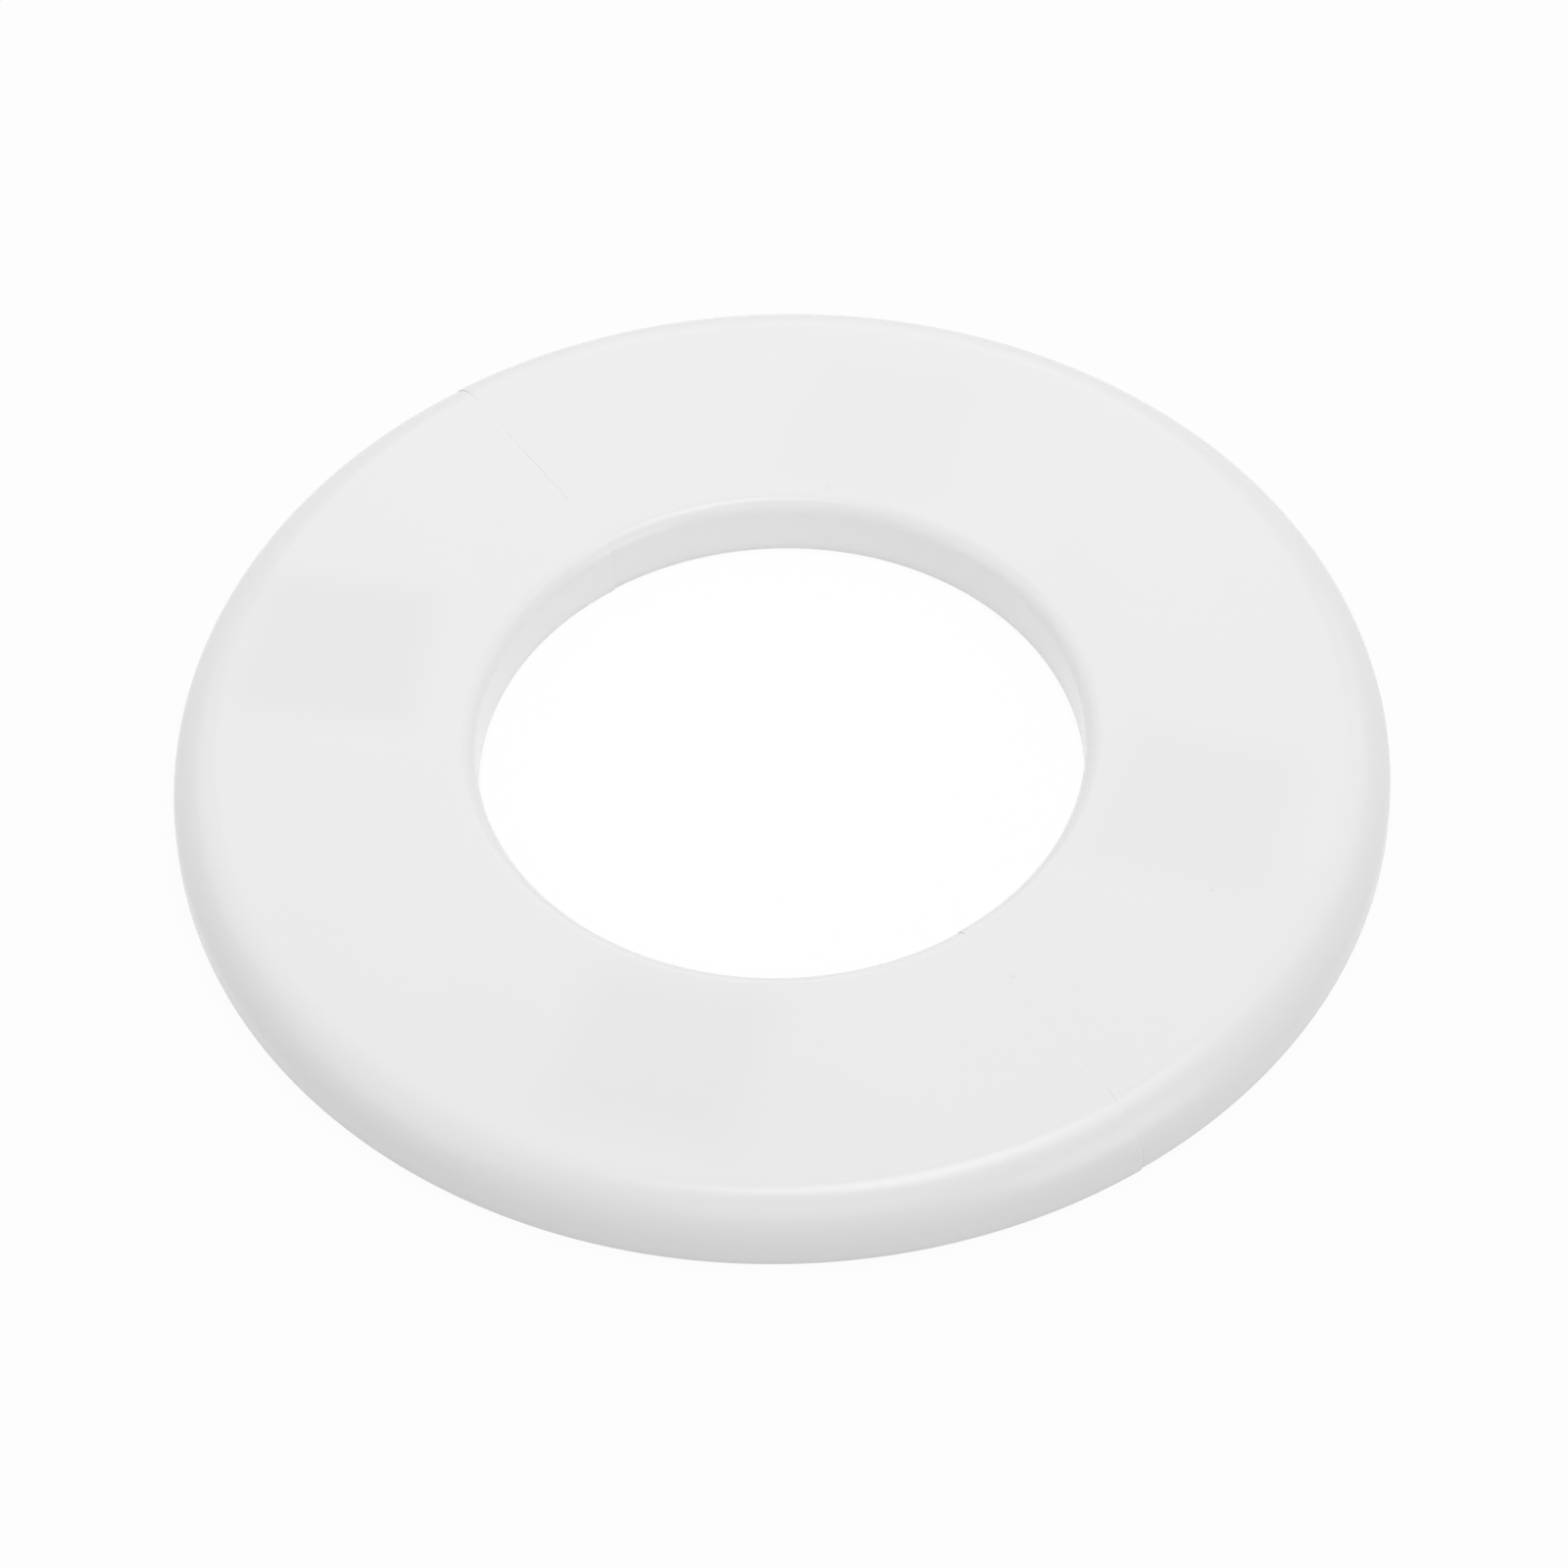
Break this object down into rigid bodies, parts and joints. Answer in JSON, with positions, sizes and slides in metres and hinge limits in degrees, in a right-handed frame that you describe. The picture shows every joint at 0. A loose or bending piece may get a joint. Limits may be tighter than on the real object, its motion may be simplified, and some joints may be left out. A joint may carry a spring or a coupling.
{
  "type": "split escutcheon",
  "caption": "Flat round cover ring in two push-fit moulded plastic halves, closed round a pipe to hide its hole in a wall.",
  "frame": {"origin": "centre of the pipe bore on the wall plane", "axes": "+Z along the bore, away from the wall; the seam runs along Y and the halves pull apart along X"},
  "size_m": [0.1, 0.1002, 0.0052],
  "materials": {
    "white_plastic": "moulded white polypropylene, satin gloss",
    "foam_pad": "grey closed-cell foam with a tacky face"
  },
  "bodies": {
    "left_side": {"left_half": "white_plastic", "left_pad_rear": "foam_pad", "left_pad_front": "foam_pad"},
    "right_side": {"right_half": "white_plastic", "right_pad_rear": "foam_pad", "right_pad_front": "foam_pad"}
  },
  "joints": [
    {"name": "pull_apart", "type": "slide", "parent": "left_side", "child": "right_side", "axis": [1, 0, 0], "range_m": [0, 0.04]}
  ]
}
